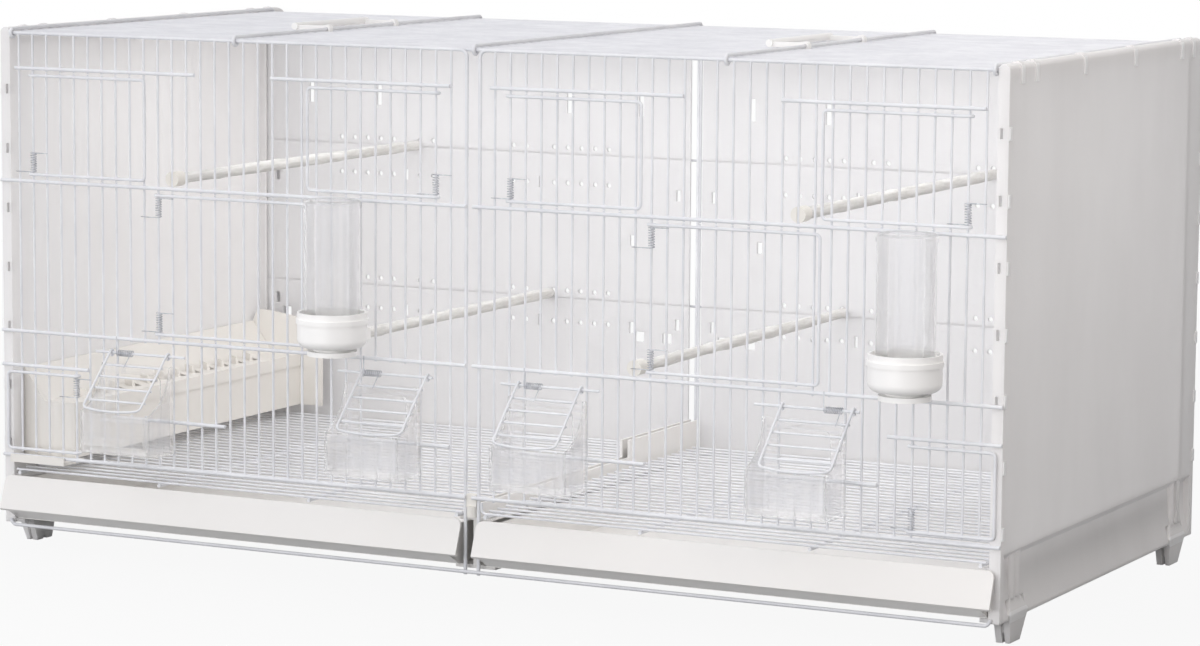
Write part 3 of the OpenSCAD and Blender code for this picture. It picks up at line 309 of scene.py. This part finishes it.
def addRound(points, faces, centre, radii, turn=None):
    # A small closed blob, 10 sides round and 5 rings high
    sides, rings = 10, 5
    start = len(points)
    for ring in range(1, rings):
        tilt = math.pi * ring / rings
        for side in range(sides):
            a = 2 * math.pi * side / sides
            spot = Vector((math.sin(tilt) * math.cos(a) * radii[0], math.sin(tilt) * math.sin(a) * radii[1],
                           math.cos(tilt) * radii[2]))
            points.append(centre + (turn @ spot if turn else spot))
    for end in (1, -1):
        spot = Vector((0, 0, end * radii[2]))
        points.append(centre + (turn @ spot if turn else spot))
    top, foot = len(points) - 2, len(points) - 1
    for ring in range(rings - 2):
        for side in range(sides):
            a, b = start + ring * sides + side, start + ring * sides + (side + 1) % sides
            faces.append((a, a + sides, b + sides, b))
    for side in range(sides):
        nextSide = (side + 1) % sides
        faces.append((top, start + side, start + nextSide))
        last = start + (rings - 2) * sides
        faces.append((foot, last + nextSide, last + side))


def addTube(points, faces, path, radii, sides):
    # Sweeps a ring along a path without twisting it; both ends close flat
    start = len(points)
    count = len(path)
    along = [(path[min(k + 1, count - 1)] - path[max(k - 1, 0)]).normalized() for k in range(count)]
    out = along[0].orthogonal().normalized()
    for k in range(count):
        out = (out - along[k] * out.dot(along[k])).normalized()
        side = along[k].cross(out)
        for s in range(sides):
            a = 2 * math.pi * s / sides
            points.append(path[k] + radii[k] * (math.cos(a) * out + math.sin(a) * side))
    for k in range(count - 1):
        for s in range(sides):
            a, b = start + k * sides + s, start + k * sides + (s + 1) % sides
            faces.append((a, b, b + sides, a + sides))
    faces.append([start + s for s in reversed(range(sides))])
    faces.append([start + (count - 1) * sides + s for s in range(sides)])


# Millimetres, and degrees round the hinge wire. Each arm runs on past the wire that it presses on.
spring = {
    "wireR": 0.4, "curlR": 2.4, "curls": 8, "stepsPerTurn": 28, "sides": 10, "tip": 0.8,
    "doorLength": 16, "doorFrom": -90, "doorTo": -90,
    "flapLength": 14.5, "flapFrom": 180, "flapTo": 135,
    "over": 2, "flapArmShare": 0.24,
}


def springPath(fromA, toA, length, armA, armB):
    wire = spring["wireR"] * 2
    steps = round((toA - fromA) / 360 * spring["stepsPerTurn"])

    def onCurl(a):
        turn = math.radians(a)
        return Vector((spring["curlR"] * math.cos(turn), spring["curlR"] * math.sin(turn),
                       length * (a - fromA) / (toA - fromA)))

    def ahead(a):
        turn = math.radians(a)
        return Vector((-math.sin(turn), math.cos(turn), 0))

    path = [onCurl(fromA) - ahead(fromA) * reach for reach in (armA, armA / 2, wire)]
    path += [onCurl(fromA + (toA - fromA) * k / steps) for k in range(steps + 1)]
    path += [onCurl(toA) + ahead(toA) * reach for reach in (wire, armB / 2, armB)]
    return path


def springPiece(name, places, node):
    points, faces = [], []
    for path, matrix in places:
        walk = [matrix @ (p * mm) for p in path]
        radii = [spring["wireR"] * mm] * len(walk)
        radii[0] = radii[-1] = spring["wireR"] * mm * spring["tip"]
        addTube(points, faces, walk, radii, spring["sides"])
    piece = makePiece(name, points, faces, "spring_steel", "cage")
    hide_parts(node)


turns = 360 * spring["curls"]
arm = cage["pitch"] + spring["over"]
doorPath = springPath(spring["doorFrom"], spring["doorTo"] + turns, spring["doorLength"], arm, arm)
lowClear = cage["doorLift"] + cage["doorR"] + 2 * spring["wireR"]
highClear = cage["doorDrop"] + cage["doorR"] + 2 * spring["wireR"] + spring["doorLength"]
doorPlaces = []
for name, (bay, hinge, _, low, high) in doors.items():
    # The left corner door has its spring at the top, the middle doors have one more there
    spots = []
    if name != "door_low_1":
        spots.append(cage[low] + lowClear)
    if name in ("door_mid_1", "door_mid_2", "door_low_1"):
        spots.append(cage[high] - highClear)
    for z in spots:
        doorPlaces.append((doorPath, Matrix.Translation(place(wireX(bay, hinge), 0, z))))
springPiece("doorSpringWires", doorPlaces, "door_springs")

flapPath = springPath(spring["flapFrom"], spring["flapTo"] + turns, spring["flapLength"],
                      cage["lowerZ"] - cage["rodZ"] + spring["over"],
                      cage["flapLength"] * spring["flapArmShare"] + spring["over"])
# Local X, Y, Z of the flap springs lie along the cage's Y, Z, X
lieDown = Matrix(((0, 0, 1, 0), (1, 0, 0, 0), (0, 1, 0, 0), (0, 0, 0, 1)))
eyeWide = cage["flapR"] + 2 * spring["wireR"]
wireClear = cage["wireR"] + spring["wireR"] + cage["eyeGap"]
flapPlaces = []
for name, (bay, first, last, offsetA, offsetB) in flaps.items():
    x = wireX(bay, first) + max(offsetA + eyeWide, wireClear)
    if name == "flap_4":
        x = wireX(bay, last) + min(offsetB - eyeWide, -wireClear) - spring["flapLength"]
    flapPlaces.append((flapPath, Matrix.Translation(place(x, rodY, cage["rodZ"])) @ lieDown))
springPiece("flapSpringWires", flapPlaces, "flap_springs")
print("springs")

# Heights and widths are shares of the perch's radius, knotPlaces and knotLong are shares of its length.
# longTurn, shortTurn and swayTurn are radians from end to end.
perchShape = {
    "steps": 150, "sides": 28, "thin": 0.88, "cutEnd": 0.94, "widest": 0.995,
    "longWave": 0.05, "longTurn": 9, "shortWave": 0.03, "shortTurn": 23,
    "flute": 0.0175, "ridges": 9, "sway": 3, "swayTurn": 5,
    "knots": 9, "knotPlaces": (0.03, 0.97), "knotSizes": (0.6, 1), "knotHigh": 0.22, "knotLong": 0.014,
    "knotAllRound": 0.55, "knotOneSide": 0.45, "seed": 40,
}


def perchPiece(name, node, seed):
    low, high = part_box(node)
    radius = (high.x - low.x) / 2
    middle = (low + high) / 2
    sides, steps = perchShape["sides"], perchShape["steps"]
    allRound, oneSide = perchShape["knotAllRound"], perchShape["knotOneSide"]
    draw = random.Random(seed)
    knots = [(draw.uniform(*perchShape["knotPlaces"]), draw.uniform(0, 2 * math.pi),
              draw.uniform(*perchShape["knotSizes"])) for _ in range(perchShape["knots"])]
    longSway, shortSway, fluteSway = [draw.uniform(0, 2 * math.pi) for _ in range(3)]
    points, faces = [], []
    for k in range(steps):
        t = k / (steps - 1)
        base = (perchShape["thin"]
                + perchShape["longWave"] * math.sin(perchShape["longTurn"] * t + longSway)
                + perchShape["shortWave"] * math.sin(perchShape["shortTurn"] * t + shortSway))
        sway = perchShape["sway"] * math.sin(perchShape["swayTurn"] * t + fluteSway)
        if k in (0, steps - 1):
            base *= perchShape["cutEnd"]
        for s in range(sides):
            a = 2 * math.pi * s / sides
            flute = perchShape["flute"] * math.sin(perchShape["ridges"] * a + sway)
            swell = sum(share * perchShape["knotHigh"] * math.exp(-((t - at) / perchShape["knotLong"]) ** 2)
                        * (allRound + oneSide * math.cos(a - side)) for at, side, share in knots)
            r = radius * min(perchShape["widest"], base + flute + swell)
            points.append(Vector((middle.x + r * math.cos(a), low.y + t * (high.y - low.y),
                                  middle.z + r * math.sin(a))))
    for k in range(steps - 1):
        for s in range(sides):
            a, b = k * sides + s, k * sides + (s + 1) % sides
            faces.append((a, a + sides, b + sides, b))
    faces.append(list(range(sides)))
    faces.append([(steps - 1) * sides + s for s in reversed(range(sides))])
    piece = makePiece(name, points, faces, "perch_stick", "cage")
    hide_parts(node)


for k in range(1, 5):
    perchPiece("perchBranch%d" % k, "perch_%d" % k, perchShape["seed"] + k)
print("perches")

# Welds: the flattened metal where two coated wires cross. Half sizes in millimetres along X, Y and Z.
weld = {
    "upright": (1.35, 0.55, 1.5),
    "top": (1.2, 1.2, 0.6),
    "roof": (1.3, 1.3, 0.55),
    "roofEnd": (1, 1.3, 0.55),
    "flap": (1.1, 0.45, 1.1),
    "floor": (1.3, 1.2, 0.55),
}
# Wires of each bay that cross the long bars, the upper doors' lintels and the corner door's lintel
crossings = {
    left: {"bars": range(0, 31), "lintels": (range(0, 13), range(18, 31)), "lowLintel": range(0, 6)},
    right: {"bars": range(1, 32), "lintels": (range(1, 14), range(19, 32)), "lowLintel": range(26, 32)},
}
# Wires along the width, counted from the front, and the places along it of the rods they cross
deck = {
    "wires": 29, "pitch": 13.8,
    "roofZ": 432.3, "roofFrom": 0.5, "roofRods": (0, 220.75, -220.75), "roofEnds": (440, -440),
    "floorZ": 59, "floorRods": (13, 151, 296, 436),
}
flapRows = (0.22, 0.42, 0.62, 0.83)  # shares of the flap's length


def weldPiece(name, spots, body):
    points, faces = [], []
    for centre, radii, turn in spots:
        addRound(points, faces, centre, [r * mm for r in radii], turn)
    makePiece(name, points, faces, "white_wire", body)


def uprightWeld(x, y, z):
    return place(x, y, z), weld["upright"], None


frontSpots = []
contactY = -cage["wireR"]
for bay, crossing in crossings.items():
    for i in crossing["bars"]:
        x = wireX(bay, i)
        for z in (cage["bottomZ"], cage["lowerZ"], cage["upperZ"]):
            frontSpots.append(uprightWeld(x, contactY, z))
        if any(i in lintel for lintel in crossing["lintels"]):
            frontSpots.append(uprightWeld(x, contactY, cage["lintelZ"]))
        if i in crossing["lowLintel"]:
            frontSpots.append(uprightWeld(x, contactY, cage["lowLintelZ"]))
        frontSpots.append((place(x, cage["topWeldY"], cage["topZ"] - cage["topWeldDrop"]), weld["top"], None))
    for flapBay, first, last, offsetA, _ in flaps.values():
        if flapBay != bay:
            continue
        # Wires that the sill crosses before and after the opening
        before, after = (0, 3) if offsetA < 0 else (2, 2)
        for i in range(first - before, last + after + 1):
            frontSpots.append(uprightWeld(wireX(bay, i), contactY, cage["sillZ"]))
        for i in (first - 1, first, last):
            frontSpots.append(uprightWeld(wireX(bay, i), contactY, cage["rodZ"]))
weldPiece("frontWelds", frontSpots, "cage")

roofSpots = []
contactZ = deck["roofZ"] - cage["barR"]
for k in range(1, deck["wires"] + 1):
    y = deck["roofFrom"] + k * deck["pitch"]
    for x in deck["roofRods"]:
        roofSpots.append((place(x, y, contactZ), weld["roof"], None))
    for x in deck["roofEnds"]:
        roofSpots.append((place(x, y, contactZ), weld["roofEnd"], None))
weldPiece("roofWelds", roofSpots, "cage")

for name, (bay, hinge, far, low, high) in doors.items():
    spots = []
    step = 1 if far > hinge else -1
    for i in range(hinge + step, far, step):
        for z in (cage[low] + cage["doorLift"], cage[high] - cage["doorDrop"]):
            spots.append(uprightWeld(wireX(bay, i), doorY + cage["doorR"], z))
    weldPiece(name.replace("_", "") + "Welds", spots, name + "_leaf")

tip = Matrix.Rotation(-math.radians(cage["flapLean"]), 3, "X")
eyeR = cage["rodR"] + cage["eyeGap"] + cage["flapR"]
for name, (bay, first, last, offsetA, offsetB) in flaps.items():
    spots = []
    for x in (wireX(bay, first) + offsetA, wireX(bay, last) + offsetB):
        for share in flapRows:
            spot = tip @ Vector((0, -eyeR + cage["flapR"], -share * cage["flapLength"]))
            spots.append((place(x, rodY + spot.y, cage["rodZ"] + spot.z), weld["flap"], tip))
    weldPiece(name.replace("_", "") + "Welds", spots, name + "_leaf")

for side, name in ((left, "floor_left"), (right, "floor_right")):
    spots = []
    for k in range(deck["wires"]):
        for x in deck["floorRods"]:
            spots.append((place(side * x, k * deck["pitch"], deck["floorZ"]), weld["floor"], None))
    weldPiece(name.replace("_", "") + "Welds", spots, name + "_grid")
print("welds")

# Metres from the middle of the cage. The paper shows by shadowShare up to whiteFrom and is plain white from
# whiteTo. For the light it throws back it is dark up to darkTo along its oval and pale from paleFrom.
studio = {
    "floorWidth": 80, "whiteFrom": 1.0, "whiteTo": 2.6, "shadowShare": 0.07,
    "paperOval": (0.5, 1, 0), "darkTo": 0.2, "paleFrom": 0.5, "darkPaper": 0.05, "palePaper": 0.42,
    "paperRoughness": 0.9, "paperGloss": 0.1,
    "worldColour": "#FBFBFF", "worldLight": 1.05,
    "dimLight": 0.1, "dimTowards": (0.8, 0.6, 0), "dimFrom": -0.4, "dimMost": 0.8,
}


def seenDirectly(tree):
    # 1 for what the camera, a reflection or a clear piece shows, 0 for light that bounces on
    rays = addNode(tree, "ShaderNodeLightPath")
    seen = addNode(tree, "ShaderNodeMath", {"operation": "MAXIMUM"},
                   {0: rays.outputs["Is Camera Ray"], 1: rays.outputs["Is Glossy Ray"]})
    seenToo = addNode(tree, "ShaderNodeMath", {"operation": "MAXIMUM"},
                      {0: seen.outputs["Value"], 1: rays.outputs["Is Transmission Ray"]})
    return seenToo.outputs["Value"]


def floorMaterial():
    # Seamless paper, matt: it looks pale, keeps the cage's shadow close by and runs out to plain white.
    # It throws little light back at the cage's underside.
    material, tree, shader = startMaterial("seamlessPaper", {
        "Roughness": studio["paperRoughness"], "Specular IOR Level": studio["paperGloss"]})
    position = addNode(tree, "ShaderNodeNewGeometry").outputs["Position"]
    oval = addNode(tree, "ShaderNodeVectorMath", {"operation": "MULTIPLY", 1: studio["paperOval"]},
                   {0: position})
    away = addNode(tree, "ShaderNodeVectorMath", {"operation": "LENGTH"}, {0: oval.outputs["Vector"]})
    shade = addNode(tree, "ShaderNodeMapRange", {
        "From Min": studio["darkTo"], "From Max": studio["paleFrom"],
        "To Min": studio["darkPaper"], "To Max": studio["palePaper"]}, {"Value": away.outputs["Value"]})
    tree.links.new(shade.outputs["Result"], shader.inputs["Base Color"])
    reach = addNode(tree, "ShaderNodeVectorMath", {"operation": "LENGTH"}, {0: position})
    fade = addNode(tree, "ShaderNodeMapRange", {
        "interpolation_type": "SMOOTHSTEP", "From Min": studio["whiteFrom"], "From Max": studio["whiteTo"],
        "To Min": 1 - studio["shadowShare"], "To Max": 1}, {"Value": reach.outputs["Value"]})
    share = addNode(tree, "ShaderNodeMath", {"operation": "MULTIPLY"},
                    {0: fade.outputs["Result"], 1: seenDirectly(tree)})
    white = addNode(tree, "ShaderNodeEmission", {"Color": (1, 1, 1, 1), "Strength": 1})
    mixed = addNode(tree, "ShaderNodeMixShader", None, {
        0: share.outputs["Value"], 1: shader.outputs["BSDF"], 2: white.outputs["Emission"]})
    tree.links.new(mixed.outputs["Shader"], tree.nodes["Material Output"].inputs["Surface"])
    return material


def buildFloor():
    half = studio["floorWidth"] / 2
    mesh = bpy.data.meshes.new("studioFloor")
    mesh.from_pydata([(-half, -half, 0), (half, -half, 0), (half, half, 0), (-half, half, 0)], [],
                     [(0, 1, 2, 3)])
    floor = bpy.data.objects.new("studioFloor", mesh)
    bpy.context.scene.collection.objects.link(floor)
    mesh.materials.append(floorMaterial())


def buildWorld():
    world = bpy.data.worlds.new("studioWorld")
    world.use_nodes = True
    tree = world.node_tree
    light = tree.nodes["Background"]
    light.inputs["Color"].default_value = toLinear(studio["worldColour"])
    # The room is dimmer behind the cage's right side
    direction = addNode(tree, "ShaderNodeTexCoord").outputs["Generated"]
    toDim = addNode(tree, "ShaderNodeVectorMath", {"operation": "DOT_PRODUCT", 1: studio["dimTowards"]},
                    {0: direction})
    strength = addNode(tree, "ShaderNodeMapRange", {
        "From Min": studio["dimFrom"], "From Max": studio["dimMost"],
        "To Min": studio["worldLight"], "To Max": studio["dimLight"]}, {"Value": toDim.outputs["Value"]})
    tree.links.new(strength.outputs["Result"], light.inputs["Strength"])
    white = addNode(tree, "ShaderNodeBackground", {"Color": (1, 1, 1, 1), "Strength": 1})
    mixed = addNode(tree, "ShaderNodeMixShader", None, {
        0: seenDirectly(tree), 1: light.outputs["Background"], 2: white.outputs["Background"]})
    tree.links.new(mixed.outputs["Shader"], tree.nodes["World Output"].inputs["Surface"])
    bpy.context.scene.world = world


lamps = {
    # Place, target, width, height, watts, colour
    "keyLamp": ((-2.1, -2.6, 2.3), (-0.1, -0.1, 0.2), 1.8, 1.4, 7, "#FFFFFF"),
    "frontLamp": ((-0.4, -3.6, 0.5), (0, -0.2, 0.2), 2.4, 0.7, 33, "#FFFFFF"),
    # The next two light the outer face of the right panel
    "sideLamp": ((1.35, -0.75, 1.0), (0.45, -0.05, 0.25), 0.5, 0.5, 3.2, "#FFF5EC"),
    "topLamp": ((1.0, 0.0, 1.9), (0.3, 0, 0.1), 0.6, 0.6, 6.5, "#FFFBF6"),
    # Stands for the light that white walls throw to and fro inside the cage, so it isn't seen itself
    "cageGlow": ((0, 0.0, 0.425), (0, 0.001, 0), 0.8, 0.3, 0.72, "#FFFFFF"),
}


def buildLamps():
    for name, (spot, target, width, height, watts, colour) in lamps.items():
        data = bpy.data.lights.new(name, "AREA")
        data.shape = "RECTANGLE"
        data.size, data.size_y, data.energy = width, height, watts
        data.color = toLinear(colour)[:3]
        lamp = bpy.data.objects.new(name, data)
        lamp.location = spot
        lamp.rotation_mode = "QUATERNION"
        lamp.rotation_quaternion = (Vector(target) - Vector(spot)).to_track_quat("-Z", "Y")
        lamp.visible_camera = False
        lamp.visible_glossy = name != "cageGlow"
        lamp.visible_transmission = name != "cageGlow"
        bpy.context.scene.collection.objects.link(lamp)


# Solved from the photograph's own perspective: turn and tilt are one rotation vector
viewpoint = {
    "place": (1.5291, -2.9531, 0.6192), "turn": (0.122, 0.473, 0.037), "lens": 120.41, "sensor": 36,
    "near": 0.05, "far": 200,
}


def buildCamera():
    turn = Vector(viewpoint["turn"])
    spin = Matrix.Rotation(turn.length, 3, turn.normalized())
    upright = Matrix(((1, 0, 0), (0, 0, -1), (0, 1, 0)))
    toCamera = spin @ upright
    axes = Matrix((toCamera[0], -toCamera[1], -toCamera[2])).transposed()
    data = bpy.data.cameras.new("camera")
    data.sensor_width, data.lens = viewpoint["sensor"], viewpoint["lens"]
    data.clip_start, data.clip_end = viewpoint["near"], viewpoint["far"]
    camera = bpy.data.objects.new("camera", data)
    camera.matrix_world = Matrix.Translation(viewpoint["place"]) @ axes.to_4x4()
    bpy.context.scene.collection.objects.link(camera)
    bpy.context.scene.camera = camera


buildFloor()
buildWorld()
buildLamps()
buildCamera()
bpy.context.scene.view_settings.view_transform = "Standard"
print("studio")

bpy.context.view_layer.update()
